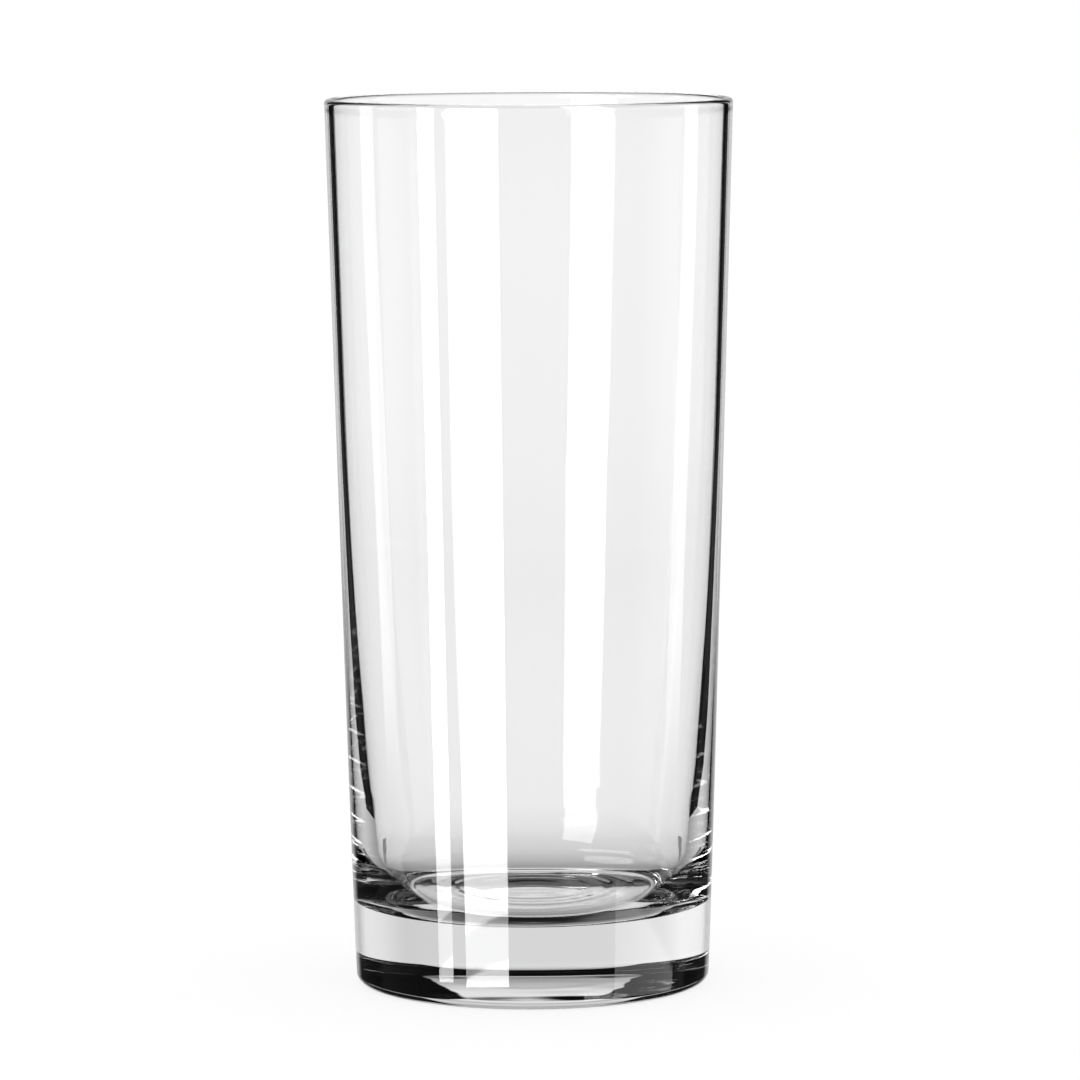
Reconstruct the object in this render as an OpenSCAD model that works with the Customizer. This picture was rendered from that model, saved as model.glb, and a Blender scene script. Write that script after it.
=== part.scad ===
// Highball glass: a tall, slightly tapered tumbler with a heavy base, in one piece of clear glass.
// The axis of the glass is +Z, and the table plane that it stands on is z = 0.

/* [Body] */
// Overall height, from the table to the crown of the rim
height = 152.4; // [110:0.1:200]
// Outer diameter across the rim bead
rim_d = 69.8; // [60:0.1:90]
// Outer diameter at the table plane, before the heel is rounded
base_d = 60.9; // [50:0.1:80]
// How far the foot of the wall draws in from the straight taper
draw_in = 0.2; // [0:0.05:1]
// Height up to which the wall draws in
draw_h = 52; // [20:1:90]

/* [Wall] */
// Wall thickness in the upper part of the glass
lip_wall = 1.5; // [1:0.1:3]
// Height below which the wall grows thicker
thicken_h = 100; // [60:1:105]
// Thickness that the wall would have gained at the table plane
thicken = 4.6; // [2:0.1:6]

/* [Rim] */
// How far the fire-polished bead stands proud on each side of the wall
bead_proud = 0.02; // [0:0.01:0.4]
// Height over which the bead runs out into the wall
bead_h = 2; // [1:0.1:4]

/* [Base] */
// Thickness of the solid base, from the table to the cavity floor
floor_t = 13.4; // [8:0.1:20]
// Height of the rounded corner between cavity floor and wall
corner_h = 11; // [8:0.5:20]
// Width of the rounded corner between cavity floor and wall
corner_w = 4.5; // [3:0.5:10]
// Height of the rings left on the cavity floor
ripple_h = 0.08; // [0:0.01:0.15]
// Distance from one floor ring to the next
ripple_pitch = 4.2; // [3:0.1:8]
// Radius of the rounded heel
heel_r = 1.8; // [0.3:0.1:3]
// Width of the flat ring that the glass stands on
bearing_w = 2; // [1:0.1:8]
// Height of the hollow under the base, at its centre
kick_h = 1.65; // [0.2:0.05:3]

/* [Hidden] */
$fn = 120;

// Counts of straight steps in each curved stretch of the outline
draw_steps = 16;
wall_steps = 32;
bead_steps = 8;
crown_steps = 16;
corner_steps = 24;
floor_steps = 44;
heel_steps = 10;
kick_steps = 16;

// The crown of the rim is a half round over the wall and its bead
crown_r = lip_wall / 2 + bead_proud;
crown_z = height - crown_r;

// The straight taper runs from foot_line_r at the table plane to rim_line_r at the crown
foot_line_r = base_d / 2 + draw_in;
rim_line_r = rim_d / 2 - bead_proud;

// Outer wall without its bead
function line_r(z) =
    foot_line_r + (rim_line_r - foot_line_r) * z / crown_z - draw_in * pow(max(0, 1 - z / draw_h), 2);

// Swelling of the bead, greatest where the crown starts and run out bead_h below it
function bead(z) = z < crown_z - bead_h ? 0 : bead_proud * (1 + cos(180 * (crown_z - z) / bead_h)) / 2;

// Thickness of the wall, which grows towards the base
function wall(z) = lip_wall + thicken * pow(max(0, 1 - z / thicken_h), 2);

function outer_r(z) = line_r(z) + bead(z);
function cavity_wall_r(z) = line_r(z) - wall(z) - bead(z);

// The cavity's corner is a quarter ellipse that leaves the wall and lands on the floor without an edge
corner_z = floor_t + corner_h;
function corner_cut(z) = corner_w * (1 - sqrt(max(0, 1 - pow((corner_z - z) / corner_h, 2))));
floor_r = cavity_wall_r(floor_t) - corner_w;

// The heel is an arc between the table plane and the wall, which leans outwards
heel_lean = atan((line_r(heel_r) - line_r(0)) / heel_r);
heel_top = heel_r * (1 - sin(heel_lean));
heel_centre_r = line_r(heel_top) - heel_r * cos(heel_lean);
bearing_r = heel_centre_r - bearing_w;

// Values from a to b in equal steps, without the first one
function steps(a, b, count) = [for (i = [1:count]) a + (b - a) * i / count];

// Shallow spherical hollow under the base, from the axis out to the bearing ring
kick_outline = [for (r = concat([0], steps(0, bearing_r, kick_steps))) [r, kick_h * (1 - pow(r / bearing_r, 2))]];

heel_outline = [for (a = concat([-90], steps(-90, -heel_lean, heel_steps)))
    [heel_centre_r + heel_r * cos(a), heel_r + heel_r * sin(a)]];

wall_heights = concat(
    steps(heel_top, draw_h, draw_steps),
    steps(draw_h, crown_z - bead_h, 1),
    steps(crown_z - bead_h, crown_z, bead_steps));
wall_outline = [for (z = wall_heights) [outer_r(z), z]];

crown_centre_r = line_r(crown_z) - lip_wall / 2;
crown_outline = [for (a = steps(0, 180, crown_steps))
    [crown_centre_r + crown_r * cos(a), crown_z + crown_r * sin(a)]];

cavity_heights = concat(
    steps(crown_z, crown_z - bead_h, bead_steps),
    steps(crown_z - bead_h, thicken_h, 1),
    steps(thicken_h, corner_z, wall_steps));
cavity_outline = [for (z = cavity_heights) [cavity_wall_r(z), z]];

// Equal steps of angle keep the corner smooth where it lands on the floor
corner_outline = [for (a = steps(0, 90, corner_steps))
    let (z = corner_z - corner_h * sin(a)) [cavity_wall_r(z) - corner_cut(z), z]];

// Rings die out towards the axis and towards the corner, so that the floor meets it level
function ring_share(r) = let (q = pow(r / floor_r, 2)) pow(4 * q * (1 - q), 2);
floor_outline = [for (r = steps(floor_r, 0, floor_steps))
    [r, floor_t + ripple_h * ring_share(r) * cos(360 * r / ripple_pitch)]];

module glass_section() {
    polygon(concat(kick_outline, heel_outline, wall_outline, crown_outline,
        cavity_outline, corner_outline, floor_outline));
}

module tumbler() {
    color("lightcyan", 0.4) rotate_extrude() glass_section();
}

tumbler();
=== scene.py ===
"""Highball glass: a tall heavy-base tumbler in clear glass, on a white table in a bright studio."""

import math

import bmesh
import bpy
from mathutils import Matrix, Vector, noise


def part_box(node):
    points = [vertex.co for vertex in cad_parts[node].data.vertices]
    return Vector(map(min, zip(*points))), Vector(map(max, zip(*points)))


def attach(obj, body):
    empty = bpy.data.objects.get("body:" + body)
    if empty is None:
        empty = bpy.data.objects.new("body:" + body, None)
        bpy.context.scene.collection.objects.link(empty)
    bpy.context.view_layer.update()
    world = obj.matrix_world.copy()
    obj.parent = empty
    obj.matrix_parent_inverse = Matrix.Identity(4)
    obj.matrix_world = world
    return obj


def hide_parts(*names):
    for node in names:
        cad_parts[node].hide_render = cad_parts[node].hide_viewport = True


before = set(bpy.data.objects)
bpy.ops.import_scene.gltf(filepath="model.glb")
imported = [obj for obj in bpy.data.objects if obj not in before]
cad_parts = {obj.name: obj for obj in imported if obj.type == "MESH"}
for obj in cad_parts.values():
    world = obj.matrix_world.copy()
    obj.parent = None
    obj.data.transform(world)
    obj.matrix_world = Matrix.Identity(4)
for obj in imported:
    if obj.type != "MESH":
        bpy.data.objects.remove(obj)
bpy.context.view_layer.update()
TUMBLER_LOW, TUMBLER_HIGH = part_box("tumbler")

bl_info = {
    "name": "Highball Glass",
    "version": (1, 0, 0),
    "blender": (4, 5, 0),
    "location": "View3D > Sidebar > Highball",
    "description": "Builds a heavy-base highball glass and the studio that it stands in",
    "category": "Add Mesh",
}


def length(name, description, default):
    """A size property in metres."""
    return bpy.props.FloatProperty(
        name=name, description=description, default=default, min=0.0, precision=5, unit="LENGTH"
    )


def tilt(name, description, degrees):
    """An angle property, from degrees."""
    return bpy.props.FloatProperty(
        name=name, description=description, default=math.radians(degrees), subtype="ANGLE"
    )


def amount(name, description, default, least):
    """A plain number property."""
    return bpy.props.FloatProperty(name=name, description=description, default=default, min=least)


class TumblerSizes(bpy.types.PropertyGroup):
    """Sizes of the glass, as in the construction model."""

    height: length("Height", "From the table to the crown of the rim", TUMBLER_HIGH[2] - TUMBLER_LOW[2])
    rim_d: length("Rim diameter", "Outer diameter across the rim bead", TUMBLER_HIGH[0] - TUMBLER_LOW[0])
    base_d: length("Base diameter", "Outer diameter at the table, before the heel is rounded", 0.0609)
    draw_in: length("Draw-in", "How far the foot of the wall draws in from the straight taper", 0.0002)
    draw_h: length("Draw-in height", "Height up to which the wall draws in", 0.052)
    lip_wall: length("Lip wall", "Wall thickness in the upper part", 0.0015)
    thicken_h: length("Thickening height", "Height below which the wall grows thicker", 0.1)
    thicken: length("Thickening", "Thickness gained down to the table plane", 0.0046)
    bead_proud: length("Bead", "How far the bead stands proud on each side of the wall", 0.00002)
    bead_h: length("Bead height", "Height over which the bead runs out", 0.002)
    floor_t: length("Base thickness", "From the table to the floor of the bowl", 0.0134)
    corner_h: length("Corner height", "Height of the bowl's rounded corner", 0.011)
    corner_w: length("Corner width", "Width of the bowl's rounded corner", 0.0045)
    ripple_h: length("Ring height", "Height of the rings on the floor of the bowl", 0.00008)
    ripple_pitch: length("Ring pitch", "Distance from one floor ring to the next", 0.0042)
    heel_r: length("Heel radius", "Radius of the rounded heel", 0.0018)
    bearing_w: length("Bearing ring", "Width of the flat ring that the glass stands on", 0.002)
    kick_h: length("Kick", "Height of the hollow under the base", 0.00165)
    wave_h: length("Wave height", "Height of the chill waves low inside the bowl", 0.00008)
    turns: bpy.props.IntProperty(name="Segments", description="Steps round the axis", default=224, min=24)


class GlassFinish(bpy.types.PropertyGroup):
    """Look of the glass."""

    tint: bpy.props.FloatVectorProperty(
        name="Tint",
        description="Colour that thick glass takes on",
        default=(0.32, 0.33, 0.325),
        size=3,
        subtype="COLOR",
    )
    tint_depth: amount("Tint depth", "Absorption per metre", 7.6, 0.0)
    lines: amount("Drawn lines", "How strongly the drawn lines show", 0.015, 0.0)
    ior: amount("IOR", "Refractive index of soda-lime glass", 1.52, 1.0)


class StageSettings(bpy.types.PropertyGroup):
    """Camera and light, as the photo shows them."""

    distance: length("Distance", "From the axis of the glass to the camera", 1.008)
    eye_h: length("Eye height", "Height of the camera above the table", 0.1858)
    aside: length("Sideways", "How far the camera stands to the right", 0.0021)
    pitch: tilt("Pitch", "How far the camera looks down", 6.19)
    roll: tilt("Roll", "How far the camera is turned about its view", 0.26)
    lens: amount("Lens", "Focal length in millimetres", 196.4, 1.0)
    flag_aside: length("Flag sideways", "From the middle of the table to each black card", 0.0695)
    flag_behind: length("Flag behind", "From the axis of the glass back to each black card", 0.0482)
    flag_turn: tilt("Flag angle", "How far each card faces inwards", 33)


# Straight steps in each stretch of the outline: underside and heel, outer wall and crown, bowl
HOLLOW_STEPS, BEARING_STEPS, HEEL_STEPS = 24, 3, 14
DRAW_STEPS, TAPER_STEPS, BEAD_STEPS, CROWN_STEPS = 18, 14, 8, 18
UPPER_STEPS, THICKEN_STEPS, LOW_STEPS, CORNER_STEPS, FLOOR_STEPS = 8, 24, 40, 60, 72
# Points of the spun outline closer than this become one
MERGE_DIST = 1e-7

# Drawn lines on the wall: width, length and height
LINE_W, LINE_L, LINE_H = 0.0016, 0.06, 0.0001
# Chill waves: sizes of the broad and the fine ones by x, y and z, and the share that the fine ones add
BROAD_WAVES, FINE_WAVES, FINE_SHARE = (0.012, 0.012, 0.0035), (0.008, 0.008, 0.0013), 0.4
# How far up they reach, as a share of the corner's height, and what share of them is left at front and back
REACH_SHARE, FRONT_SHARE = 1.15, 0.3
# Where they rise to full height towards the sides, as shares of the radius
RISE_START_SHARE, RISE_SHARE = 0.5, 0.4
# Underside: grain by x and y, slice of the noise, and the ring's radius, width and run-out
GRAIN_X, GRAIN_Y, GRAIN_SLICE = 0.009, 0.005, 0.5
RING_R, RING_W, RUN_OUT_W = 0.009, 0.0012, 0.0048
# What lies below this share of the hollow's height, inside the standing ring, is the underside
UNDERSIDE_SHARE = 1.1

# Bounces that light may make in the glass
GLASS_BOUNCES = 40
# Camera: width of its sensor in millimetres, and the nearest and farthest that it sees
SENSOR_W, CLIP_START, CLIP_END = 36.0, 0.05, 50.0
# Table: half its width, and its glow to the camera
TABLE_HALF, TABLE_GLOW = 3.0, 0.76

# Light of the studio as stops of degrees and grey level: the table by elevation below the horizon
TABLE_FALLOFF = [
    (-39, 0.174), (-33, 0.218), (-28, 0.274), (-23.6, 0.33), (-20.7, 0.351), (-18.5, 0.385), (-12.6, 0.425),
]
# The table close to the glass, seen straight through it or in a mirror image inside it
STRAIGHT_DOWN = [(-90, 0.4), (-56, 0.38), (-48, 0.2)]
TURNED_DOWN = [(-90, 0.08), (-82, 0.06), (-76, 0.024), (-70, 0.04), (-63, 0.11), (-55, 0.13)]
# The far table and the backdrop, seen straight through the glass
STRAIGHT_UP = [
    (-10.5, 0.425), (-8.2, 0.412), (-6.4, 0.425), (-3.2, 0.44), (0, 0.43), (5, 0.4), (9.3, 0.36), (12.1, 0.33),
    (15.3, 0.24), (90, 0.24),
]
# The backdrop above the horizon, seen in a mirror image inside the glass
TURNED_UP = [
    (0.5, 0.4), (1.1, 0.02), (3.5, 0.02), (5, 0.08), (7, 0.19), (9, 0.22), (11, 0.24), (13.5, 0.29), (15.5, 0.34),
    (18, 0.38), (20.3, 0.45), (22, 0.47), (90, 0.47),
]
# Both by azimuth, from straight behind the glass
STRAIGHT_ROUND = [
    (-180, 0.36), (-80, 0.38), (-66, 0.62), (-57, 0.56), (-45, 0.505), (-36, 0.43), (-28.6, 0.406), (-24, 0.395),
    (-18, 0.38), (18, 0.38), (22.8, 0.35), (34, 0.34), (47, 0.43), (55, 0.48), (61, 0.52), (80, 0.38), (180, 0.36),
]
TURNED_ROUND = [
    (-180, 0.1), (-110, 0.1), (-85, 0.34), (-29, 0.37), (-18, 0.38), (20, 0.38), (29, 0.37), (85, 0.34), (110, 0.1),
    (180, 0.1),
]

# The room that the outer surface mirrors, by azimuth
ROOM_ROUND = [
    (-180, 0.03), (-90, 0.04), (-66, 0.04), (-60, 0.015), (-28, 0.015), (-22, 0.2), (-18, 0.28), (18, 0.28),
    (22, 0.2), (28, 0.015), (60, 0.015), (66, 0.06), (100, 0.04), (180, 0.03),
]
# What the grey levels of backdrop and table, and of the mirrored room, are multiplied by
BACKDROP_LEVEL, ROOM_LEVEL = 6.25, 2.5

# Cards and lamps: ends by azimuth, ends by elevation, level, and softness at the ends by elevation
# A level below 0 takes light away
DARK_POLE = ((19.0, 23.5), (-34.0, -18.8), -0.9, 0.25)
SOFTBOX = ((-154.2, -127.0), (-24.0, 26.0), 5.0, 0.25)
FRONT_LAMPS = (
    ((-162.5, -134.0), (-15.0, 20.0), 14.0, 0.25),
    ((-162.5, -134.0), (-14.16, -13.58), -8.0, 0.06),
    ((-125.0, -114.6), (-14.12, 20.0), 11.0, 0.25),
    ((-125.0, -114.6), (-13.72, -13.16), -6.0, 0.06),
)
LEFT_LAMP = ((-82.0, -70.0), (-10.0, 20.0), 2.2, 2.4)
RIGHT_LAMP = ((69.0, 81.5), (-10.0, 20.0), 2.1, 2.4)
OVERHEAD_LAMP = ((-9.0, 9.0), (14.0, 52.0), 4.0, 6.0)
LOW_LAMP = ((76.0, 125.0), (-24.0, -12.8), 1.6, 0.25)
# Softness of each of them at the ends by azimuth
ROUND_SOFT = 0.6
# Leans: the low elevation, the degrees that the lamp is turned by there, and the elevation where it is upright
SOFTBOX_LEAN = (-4.0, 3.8, 0.5)
FRONT_LEAN = (-13.5, 2.2, -4.6)
LEFT_LEAN = (-12.0, 9.0, -5.0)
RIGHT_LEAN = (-12.0, -9.0, -5.0)

# Lower edge of the dark room: azimuths between which it drops, elevations there, and softness
EDGE_ROUND, EDGE_UP, EDGE_SOFT = (15.0, 29.0), (25.0, 4.0), 2.0
# Loss of light on the table: azimuths and elevations between which it sets in, and the most that is lost
LOSS_ROUND, LOSS_DOWN, LOSS = (28.0, 45.0), (-14.0, -4.0), 0.5
# Counts on the light's way: more than none, through both walls, and softness of these steps
ANY, BOTH_WALLS, COUNT_SOFT = 0.5, 3.5, 0.1
# Counts of mirror images between which the light fades, and the share that is left
FADE_COUNTS, FADED_SHARE = (2.0, 3.0), 0.15

# White slats behind the glass: height at its axis, and where each ends behind it
SLATS = ((0.074, 0.1), (0.107, 0.07))
# Where they start behind the axis, and half their width
SLAT_NEAR, SLAT_HALF = 0.0345, 0.04

# Outline of the right black card: sideways from its middle line, and height
FLAG_OUTLINE = (
    (0.015, 0.004), (0.019, 0.0065), (0.0178, 0.008), (0.012, 0.0105), (0.0095, 0.017), (0.008, 0.031),
    (0.003, 0.052), (0.002, 0.084), (0.002, 0.19), (-0.0136, 0.19), (-0.013, 0.06), (-0.0125, 0.03),
    (-0.0095, 0.018), (-0.003, 0.012), (-0.001, 0.0085), (0.005, 0.007),
)


def linear(hex_colour):
    """An sRGB hex colour as linear red, green, blue and alpha."""
    parts = [int(hex_colour[i : i + 2], 16) / 255 for i in (1, 3, 5)]
    return tuple(c / 12.92 if c <= 0.04045 else ((c + 0.055) / 1.055) ** 2.4 for c in parts) + (1.0,)


def add_node(tree, kind, settings=None, sockets=None):
    """Adds a node, sets its own settings, and fills or links its input sockets."""
    node = tree.nodes.new(kind)
    for key, value in (settings or {}).items():
        setattr(node, key, value)
    for key, value in (sockets or {}).items():
        if isinstance(value, bpy.types.NodeSocket):
            tree.links.new(value, node.inputs[key])
        else:
            node.inputs[key].default_value = value
    return node


def add_math(tree, operation, *values):
    """Adds a sum, a product or the like, and gives its result."""
    return add_node(tree, "ShaderNodeMath", {"operation": operation}, dict(enumerate(values))).outputs[0]


def add_range(tree, value, span, levels=(0.0, 1.0), kind="LINEAR"):
    """Maps a value from a span to levels, which hold beyond its ends."""
    return add_node(
        tree,
        "ShaderNodeMapRange",
        {"interpolation_type": kind},
        {"Value": value, "From Min": span[0], "From Max": span[1], "To Min": levels[0], "To Max": levels[1]},
    ).outputs[0]


def add_mix(tree, share, first, second):
    """Mixes two levels by the share of the second."""
    sockets = {"Factor": share, "A": first, "B": second}
    return add_node(tree, "ShaderNodeMix", {"data_type": "FLOAT"}, sockets).outputs[0]


def new_material(name):
    """A material with no nodes yet, and its node tree."""
    made = bpy.data.materials.new(name)
    made.use_nodes = True
    made.node_tree.nodes.clear()
    return made, made.node_tree


def add_object(scene, name, bm, made):
    """Turns a bmesh into an object of one material, and puts it in the scene."""
    mesh = bpy.data.meshes.new(name)
    bm.to_mesh(mesh)
    bm.free()
    mesh.materials.append(made)
    piece = bpy.data.objects.new(name, mesh)
    scene.collection.objects.link(piece)
    return piece


def steps(start, end, count):
    """Values from start to end in equal steps, without the first one."""
    return [start + (end - start) * i / count for i in range(1, count + 1)]


class Section:
    """Outline of the glass, as radius and height, from its sizes."""

    def __init__(self, s):
        self.s = s
        self.crown_r = s.lip_wall / 2 + s.bead_proud
        self.crown_z = s.height - self.crown_r
        self.foot_r = s.base_d / 2 + s.draw_in
        self.rim_r = s.rim_d / 2 - s.bead_proud
        self.corner_z = s.floor_t + s.corner_h
        self.floor_r = self.bowl_wall_r(s.floor_t) - s.corner_w

    def line_r(self, z):
        """Outer wall without its bead."""
        s = self.s
        return self.foot_r + (self.rim_r - self.foot_r) * z / self.crown_z - s.draw_in * max(0, 1 - z / s.draw_h) ** 2

    def bead(self, z):
        """Swelling of the bead, on each side of the wall."""
        s = self.s
        below = self.crown_z - z
        return 0.0 if below > s.bead_h else s.bead_proud * (1 + math.cos(math.pi * below / s.bead_h)) / 2

    def wall(self, z):
        """Thickness of the wall, which grows towards the base."""
        return self.s.lip_wall + self.s.thicken * max(0, 1 - z / self.s.thicken_h) ** 2

    def bowl_wall_r(self, z):
        """Wall of the bowl, without its corner."""
        return self.line_r(z) - self.wall(z) - self.bead(z)

    def corner_cut(self, z):
        """How far the bowl's corner, a quarter ellipse, stands in from the wall."""
        s = self.s
        return s.corner_w * (1 - math.sqrt(max(0, 1 - ((self.corner_z - z) / s.corner_h) ** 2)))

    def floor_z(self, r):
        """Floor of the bowl, with rings that die out towards the axis and the corner."""
        s = self.s
        ring = math.cos(2 * math.pi * r / s.ripple_pitch)
        share = (r / self.floor_r) ** 2
        return s.floor_t + s.ripple_h * ring * (4 * share * (1 - share)) ** 2

    def points(self):
        """The outline from the axis below, round by the rim, to the axis inside the bowl."""
        s = self.s
        lean = math.atan((self.line_r(s.heel_r) - self.line_r(0)) / s.heel_r)
        heel_top = s.heel_r * (1 - math.sin(lean))
        heel_c = self.line_r(heel_top) - s.heel_r * math.cos(lean)
        bearing_r = heel_c - s.bearing_w
        out = [(r, s.kick_h * (1 - (r / bearing_r) ** 2)) for r in [0.0] + steps(0, bearing_r, HOLLOW_STEPS)]
        out += [(r, 0.0) for r in steps(bearing_r, heel_c, BEARING_STEPS)]
        angles = steps(-math.pi / 2, -lean, HEEL_STEPS)
        out += [(heel_c + s.heel_r * math.cos(a), s.heel_r + s.heel_r * math.sin(a)) for a in angles]
        bead_z = self.crown_z - s.bead_h
        heights = steps(heel_top, s.draw_h, DRAW_STEPS) + steps(s.draw_h, bead_z, TAPER_STEPS)
        heights += steps(bead_z, self.crown_z, BEAD_STEPS)
        out += [(self.line_r(z) + self.bead(z), z) for z in heights]
        crown_c = self.line_r(self.crown_z) - s.lip_wall / 2
        angles = steps(0, math.pi, CROWN_STEPS)
        out += [(crown_c + self.crown_r * math.cos(a), self.crown_z + self.crown_r * math.sin(a)) for a in angles]
        low_z = 2 * self.corner_z
        heights = steps(self.crown_z, bead_z, BEAD_STEPS) + steps(bead_z, s.thicken_h, UPPER_STEPS)
        heights += steps(s.thicken_h, low_z, THICKEN_STEPS) + steps(low_z, self.corner_z, LOW_STEPS)
        out += [(self.bowl_wall_r(z), z) for z in heights]
        heights = [self.corner_z - s.corner_h * math.sin(a) for a in steps(0, math.pi / 2, CORNER_STEPS)]
        out += [(self.bowl_wall_r(z) - self.corner_cut(z), z) for z in heights]
        out += [(r, self.floor_z(r)) for r in steps(self.floor_r, 0, FLOOR_STEPS)]
        return out


def soda_lime_glass(finish):
    """Soda-lime glass: clear and mirror smooth, grey where it is thick, with faint drawn lines up the wall."""
    made, tree = new_material("soda_lime_glass")
    place = add_node(tree, "ShaderNodeTexCoord")
    # Drawn lines: a millimetre or two wide and some centimetres long
    scale = (1 / LINE_W, 1 / LINE_W, 1 / LINE_L)
    along = add_node(tree, "ShaderNodeMapping", sockets={"Vector": place.outputs["Object"], "Scale": scale})
    lines = add_node(tree, "ShaderNodeTexNoise", sockets={"Vector": along.outputs[0], "Scale": 1.0, "Detail": 1.0})
    drawn = add_node(
        tree, "ShaderNodeBump", sockets={"Height": lines.outputs[0], "Strength": finish.lines, "Distance": LINE_H}
    )
    body = add_node(
        tree,
        "ShaderNodeBsdfPrincipled",
        sockets={
            "Base Color": linear("#ffffff"),
            "Roughness": 0.0,
            "IOR": finish.ior,
            "Transmission Weight": 1.0,
            "Normal": drawn.outputs[0],
        },
    )
    depth = add_node(
        tree, "ShaderNodeVolumeAbsorption", sockets={"Color": (*finish.tint, 1.0), "Density": finish.tint_depth}
    )
    add_node(
        tree, "ShaderNodeOutputMaterial", sockets={"Surface": body.outputs["BSDF"], "Volume": depth.outputs["Volume"]}
    )
    return made


class OBJECT_OT_highball_tumbler(bpy.types.Operator):
    """Build the glass: its section spun round the axis, with chill waves in the bowl and an uneven underside."""

    bl_idname = "object.highball_tumbler"
    bl_label = "Build Tumbler"

    def execute(self, context):
        sizes = context.scene.highball_sizes
        section = Section(sizes)
        bm = bmesh.new()
        ring = [bm.verts.new((r, 0.0, z)) for r, z in section.points()]
        edges = [bm.edges.new(pair) for pair in zip(ring, ring[1:])]
        bmesh.ops.spin(
            bm,
            geom=ring + edges,
            cent=(0, 0, 0),
            axis=(0, 0, 1),
            angle=2 * math.pi,
            steps=sizes.turns,
            use_merge=True,
        )
        bmesh.ops.remove_doubles(bm, verts=bm.verts, dist=MERGE_DIST)
        bmesh.ops.recalc_face_normals(bm, faces=bm.faces)
        self.chill_waves(bm, section)
        self.mould_marks(bm, section)
        for face in bm.faces:
            face.smooth = True
        glass = soda_lime_glass(context.scene.highball_finish)
        piece = add_object(context.scene, "tumbler_glass", bm, glass)
        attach(piece, "root")
        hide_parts("tumbler")
        return {"FINISHED"}

    def chill_waves(self, bm, section):
        """Moves the bowl's lower wall in and out by a hair, in waves that run round it."""
        s = section.s
        bm.normal_update()
        for v in bm.verts:
            r = math.hypot(v.co.x, v.co.y)
            if v.co.z < s.floor_t - s.wave_h or r > section.line_r(v.co.z) - section.wall(v.co.z) / 2:
                continue
            fade = max(0.0, 1 - (v.co.z - s.floor_t) / (REACH_SHARE * s.corner_h))
            if fade == 0.0 or r < section.crown_r:
                continue
            # Stronger at the two sides, where the mould halves met
            aside = max(0.0, min(1.0, (abs(v.co.x) / r - RISE_START_SHARE) / RISE_SHARE))
            fade *= FRONT_SHARE + (1 - FRONT_SHARE) * aside
            broad, fine = (
                noise.noise(Vector([c / size for c, size in zip(v.co, sizes)])) for sizes in (BROAD_WAVES, FINE_WAVES)
            )
            v.co += v.normal * s.wave_h * fade * (broad + FINE_SHARE * fine)

    def mould_marks(self, bm, section):
        """Makes the hollow underside slightly uneven, with one shallow ring round its middle."""
        s = section.s
        hollow_r = s.base_d / 2 - s.heel_r - s.bearing_w
        for v in bm.verts:
            r = math.hypot(v.co.x, v.co.y)
            if v.co.z > UNDERSIDE_SHARE * s.kick_h or r > hollow_r:
                continue
            fade = min(1.0, (hollow_r - r) / RUN_OUT_W)
            rough = noise.noise(Vector((v.co.x / GRAIN_X, v.co.y / GRAIN_Y, GRAIN_SLICE)))
            ring = math.exp(-(((r - RING_R) / RING_W) ** 2))
            v.co.z += s.wave_h * fade * (rough + ring) / 2


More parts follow.
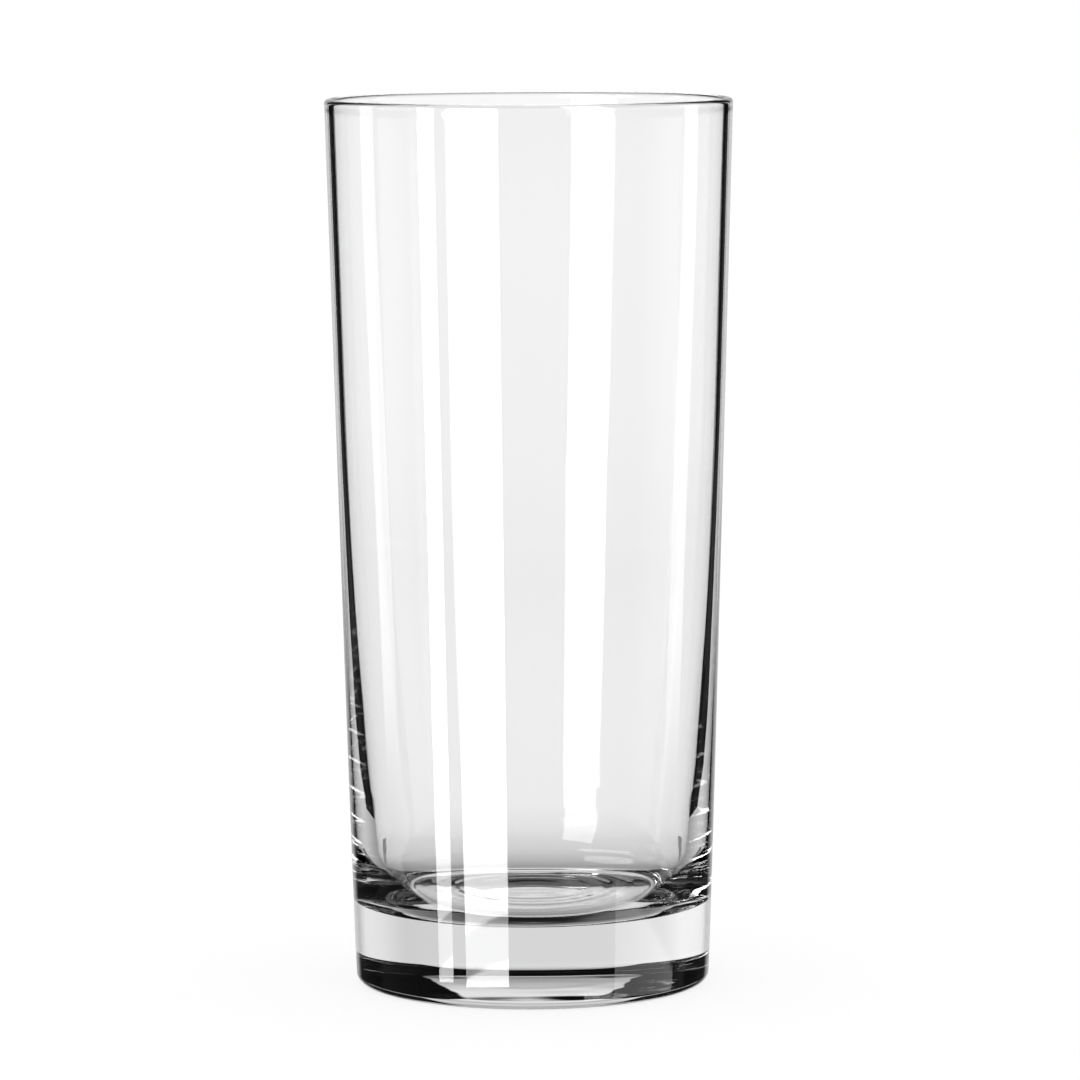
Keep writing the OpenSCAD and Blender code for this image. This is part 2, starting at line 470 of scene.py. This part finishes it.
class SCENE_OT_highball_stage(bpy.types.Operator):
    """Set up the table, the light and the camera."""

    bl_idname = "scene.highball_stage"
    bl_label = "Set Up Stage"

    def execute(self, context):
        scene = context.scene
        scene.view_settings.view_transform = "Standard"
        cycles = scene.cycles
        cycles.max_bounces = GLASS_BOUNCES
        cycles.glossy_bounces = GLASS_BOUNCES
        cycles.transmission_bounces = GLASS_BOUNCES
        self.make_table(scene)
        self.make_world(scene)
        self.make_flags(scene)
        self.make_slats(scene)
        self.make_camera(scene)
        return {"FINISHED"}

    def make_camera(self, scene):
        """A long lens some way off, a little above the rim."""
        stage = scene.highball_stage
        data = bpy.data.cameras.new("photo_camera")
        data.sensor_fit = "HORIZONTAL"
        data.sensor_width = SENSOR_W
        data.lens = stage.lens
        data.clip_start = CLIP_START
        data.clip_end = CLIP_END
        camera = bpy.data.objects.new("photo_camera", data)
        camera.location = (stage.aside, -stage.distance, stage.eye_h)
        camera.rotation_euler = (math.pi / 2 - stage.pitch, stage.roll, 0.0)
        scene.collection.objects.link(camera)
        scene.camera = camera

    def make_table(self, scene):
        """A wide white table. Its shade shows the shadow of the glass."""
        bm = bmesh.new()
        bmesh.ops.create_grid(bm, x_segments=1, y_segments=1, size=TABLE_HALF)
        # White laminate: an even white ground with a soft, faint shadow
        made, tree = new_material("white_laminate")
        path = add_node(tree, "ShaderNodeLightPath")
        shade = add_node(tree, "ShaderNodeBsdfDiffuse", sockets={"Color": linear("#8c8c8c")})
        glow = add_math(tree, "MULTIPLY", path.outputs["Is Camera Ray"], TABLE_GLOW)
        lit = add_node(tree, "ShaderNodeEmission", sockets={"Color": linear("#ffffff"), "Strength": glow})
        both = add_node(tree, "ShaderNodeAddShader", sockets={0: shade.outputs[0], 1: lit.outputs[0]})
        add_node(tree, "ShaderNodeOutputMaterial", sockets={"Surface": both.outputs[0]})
        table = add_object(scene, "table", bm, made)
        table.visible_glossy = False
        table.visible_transmission = False

    def make_slats(self, scene):
        """White slats slope down behind the glass, edge-on to the camera, and light the front of the rim."""
        stage = scene.highball_stage
        bm = bmesh.new()
        for level, far in SLATS:
            slope = (stage.eye_h - level) / stage.distance
            corners = ((-SLAT_HALF, SLAT_NEAR), (SLAT_HALF, SLAT_NEAR), (SLAT_HALF, far), (-SLAT_HALF, far))
            bm.faces.new([bm.verts.new((x, y, level - slope * y)) for x, y in corners])
        # White card: an even bright white, on its upper side, to light that goes straight through both walls
        made, tree = new_material("white_card")
        lit = add_node(tree, "ShaderNodeEmission", sockets={"Color": linear("#ffffff"), "Strength": 1.0})
        path = add_node(tree, "ShaderNodeLightPath")
        side = add_node(tree, "ShaderNodeNewGeometry")
        upper = add_math(tree, "SUBTRACT", 1.0, side.outputs["Backfacing"])
        walls = self.window(tree, path.outputs["Transmission Depth"], BOTH_WALLS, None, COUNT_SOFT)
        straight = self.window(tree, path.outputs["Glossy Depth"], None, ANY, COUNT_SOFT)
        self.show_only(tree, lit, self.product(tree, upper, walls, straight))
        self.add_unseen(scene, "slats", bm, made)

    def show_only(self, tree, shader, share):
        """Lets a surface show in some share of the light and be clear in the rest."""
        clear = add_node(tree, "ShaderNodeBsdfTransparent")
        both = add_node(tree, "ShaderNodeMixShader", sockets={0: share, 1: clear.outputs[0], 2: shader.outputs[0]})
        add_node(tree, "ShaderNodeOutputMaterial", sockets={"Surface": both.outputs[0]})

    def add_unseen(self, scene, name, bm, made):
        """Adds a stage piece that only shows in the glass."""
        piece = add_object(scene, name, bm, made)
        piece.visible_camera = False
        piece.visible_diffuse = False
        piece.visible_shadow = False

    def make_flags(self, scene):
        """Two black cards stand behind the glass, out of the camera's sight, and draw its dark edges."""
        stage = scene.highball_stage
        bm = bmesh.new()
        for side in (-1, 1):
            corners = [
                Vector((
                    side * (stage.flag_aside + u * math.cos(stage.flag_turn)),
                    stage.flag_behind - u * math.sin(stage.flag_turn),
                    z,
                ))
                for u, z in FLAG_OUTLINE
            ]
            bm.faces.new([bm.verts.new(corner) for corner in corners])
        # Black felt: a deep, dull black, to light that was mirrored inside the glass
        made, tree = new_material("black_felt")
        felt = add_node(tree, "ShaderNodeBsdfDiffuse", sockets={"Color": linear("#080808")})
        path = add_node(tree, "ShaderNodeLightPath")
        self.show_only(tree, felt, self.window(tree, path.outputs["Glossy Depth"], ANY, None, COUNT_SOFT))
        self.add_unseen(scene, "flags", bm, made)

    def make_world(self, scene):
        """The studio, which lights the table evenly and shows in the glass."""
        world = bpy.data.worlds.new("studio")
        scene.world = world
        world.use_nodes = True
        tree = world.node_tree
        tree.nodes.clear()
        place = add_node(tree, "ShaderNodeTexCoord")
        xyz = add_node(tree, "ShaderNodeSeparateXYZ", sockets={0: place.outputs["Generated"]})
        azimuth = add_math(tree, "DEGREES", add_math(tree, "ARCTAN2", xyz.outputs["X"], xyz.outputs["Y"]))
        height = add_math(tree, "DEGREES", add_math(tree, "ARCSINE", xyz.outputs["Z"]))
        path = add_node(tree, "ShaderNodeLightPath")
        outer = add_math(tree, "LESS_THAN", path.outputs["Transmission Depth"], ANY)
        inside = self.seen_through(tree, azimuth, height, path.outputs["Glossy Depth"])
        studio = add_mix(tree, outer, inside, self.mirrored(tree, azimuth, height))
        glass = add_math(tree, "MAXIMUM", path.outputs["Is Glossy Ray"], path.outputs["Is Transmission Ray"])
        first = add_math(tree, "LESS_THAN", path.outputs["Diffuse Depth"], ANY)
        level = add_mix(tree, add_math(tree, "MULTIPLY", glass, first), 1.0, studio)
        light = add_node(tree, "ShaderNodeBackground", sockets={"Color": linear("#ffffff"), "Strength": level})
        add_node(tree, "ShaderNodeOutputWorld", sockets={"Surface": light.outputs[0]})

    def seen_through(self, tree, azimuth, height, mirrors):
        """White backdrop and table with a dark room above them, and a softbox to the front left.

        Mirrors counts the reflections inside the glass on the light's way.
        """
        inner = add_math(tree, "GREATER_THAN", mirrors, ANY)
        often = add_range(tree, mirrors, FADE_COUNTS, (1.0, FADED_SHARE))
        straight = self.product(
            tree,
            self.curve(tree, azimuth, STRAIGHT_ROUND),
            self.curve(tree, height, STRAIGHT_DOWN + TABLE_FALLOFF + STRAIGHT_UP),
        )
        turned = self.product(
            tree,
            self.curve(tree, azimuth, TURNED_ROUND),
            self.curve(tree, height, TURNED_DOWN + TABLE_FALLOFF + TURNED_UP),
            self.side_falloff(tree, azimuth, height),
            often,
        )
        base = add_mix(tree, inner, straight, turned)
        aside = add_math(tree, "ABSOLUTE", azimuth)
        edge = add_range(tree, aside, EDGE_ROUND, EDGE_UP, "SMOOTHSTEP")
        below = self.window(tree, add_math(tree, "SUBTRACT", height, edge), None, 0.0, EDGE_SOFT)
        pole = self.add_card(tree, 1.0, aside, height, DARK_POLE)
        total = self.product(tree, BACKDROP_LEVEL, base, below, pole)
        return self.add_card(tree, total, self.lean(tree, azimuth, height, *SOFTBOX_LEAN), height, SOFTBOX)

    def side_falloff(self, tree, azimuth, height):
        """The table is less bright to the sides, close to the glass."""
        far = add_range(tree, add_math(tree, "ABSOLUTE", azimuth), LOSS_ROUND)
        near = add_range(tree, height, LOSS_DOWN, (-LOSS, 0.0))
        return add_math(tree, "MULTIPLY_ADD", far, near, 1.0)

    def product(self, tree, *factors):
        """Multiplies levels."""
        total = factors[0]
        for factor in factors[1:]:
            total = add_math(tree, "MULTIPLY", total, factor)
        return total

    def mirrored(self, tree, azimuth, height):
        """What the outer surface mirrors: strip lamps to the front left and to each side, and one overhead."""
        total = self.product(tree, self.curve(tree, azimuth, ROOM_ROUND), ROOM_LEVEL)
        front = self.lean(tree, azimuth, height, *FRONT_LEAN)
        lamps = [(front, lamp) for lamp in FRONT_LAMPS]
        lamps += [
            (self.lean(tree, azimuth, height, *LEFT_LEAN), LEFT_LAMP),
            (self.lean(tree, azimuth, height, *RIGHT_LEAN), RIGHT_LAMP),
            (azimuth, OVERHEAD_LAMP),
            (azimuth, LOW_LAMP),
        ]
        for across, lamp in lamps:
            total = self.add_card(tree, total, across, height, lamp)
        return total

    def lean(self, tree, azimuth, height, low, degrees, high):
        """Azimuth for a lamp that leans: turned by some degrees at the low elevation, by none at the high one."""
        return add_math(tree, "ADD", azimuth, add_range(tree, height, (low, high), (degrees, 0.0)))

    def add_card(self, tree, total, across, height, card):
        """Adds a soft-edged card or lamp to the light so far. Across and height are the light's two angles."""
        (left, right), (foot, top), level, soft = card
        wide = self.window(tree, across, left, right, ROUND_SOFT)
        high = self.window(tree, height, foot, top, soft)
        return add_math(tree, "MULTIPLY_ADD", self.product(tree, wide, high), level, total)

    def curve(self, tree, degrees, stops):
        """A level that follows an angle, from stops of degrees and grey level."""
        low, high = stops[0][0], stops[-1][0]
        ramp = add_node(tree, "ShaderNodeValToRGB", sockets={0: add_range(tree, degrees, (low, high))})
        elements = ramp.color_ramp.elements
        elements.remove(elements[-1])
        for angle, level in stops:
            stop = elements[0] if angle == low else elements.new((angle - low) / (high - low))
            stop.color = (level, level, level, 1.0)
        return ramp.outputs[0]

    def window(self, tree, value, low, high, soft):
        """A soft-edged step that is 1 between low and high, where either end may be open."""
        edges = [
            add_range(tree, value, (end - sign * soft / 2, end + sign * soft / 2), kind="SMOOTHSTEP")
            for end, sign in ((low, 1), (high, -1))
            if end is not None
        ]
        return self.product(tree, *edges)


class VIEW3D_PT_highball(bpy.types.Panel):
    """Lists the steps and the sizes."""

    bl_label = "Highball Glass"
    bl_idname = "VIEW3D_PT_highball"
    bl_space_type = "VIEW_3D"
    bl_region_type = "UI"
    bl_category = "Highball"

    def draw(self, context):
        layout = self.layout
        layout.operator(OBJECT_OT_highball_tumbler.bl_idname)
        layout.operator(SCENE_OT_highball_stage.bl_idname)
        for group in (context.scene.highball_sizes, context.scene.highball_finish, context.scene.highball_stage):
            column = layout.column()
            for name in group.__annotations__:
                column.prop(group, name)


CLASSES = (
    TumblerSizes,
    GlassFinish,
    StageSettings,
    OBJECT_OT_highball_tumbler,
    SCENE_OT_highball_stage,
    VIEW3D_PT_highball,
)


def register():
    for cls in CLASSES:
        bpy.utils.register_class(cls)
    bpy.types.Scene.highball_sizes = bpy.props.PointerProperty(type=TumblerSizes)
    bpy.types.Scene.highball_finish = bpy.props.PointerProperty(type=GlassFinish)
    bpy.types.Scene.highball_stage = bpy.props.PointerProperty(type=StageSettings)


def unregister():
    del bpy.types.Scene.highball_stage
    del bpy.types.Scene.highball_finish
    del bpy.types.Scene.highball_sizes
    for cls in reversed(CLASSES):
        bpy.utils.unregister_class(cls)


def main():
    register()
    bpy.ops.object.highball_tumbler()
    bpy.ops.scene.highball_stage()


if __name__ == "__main__":
    main()
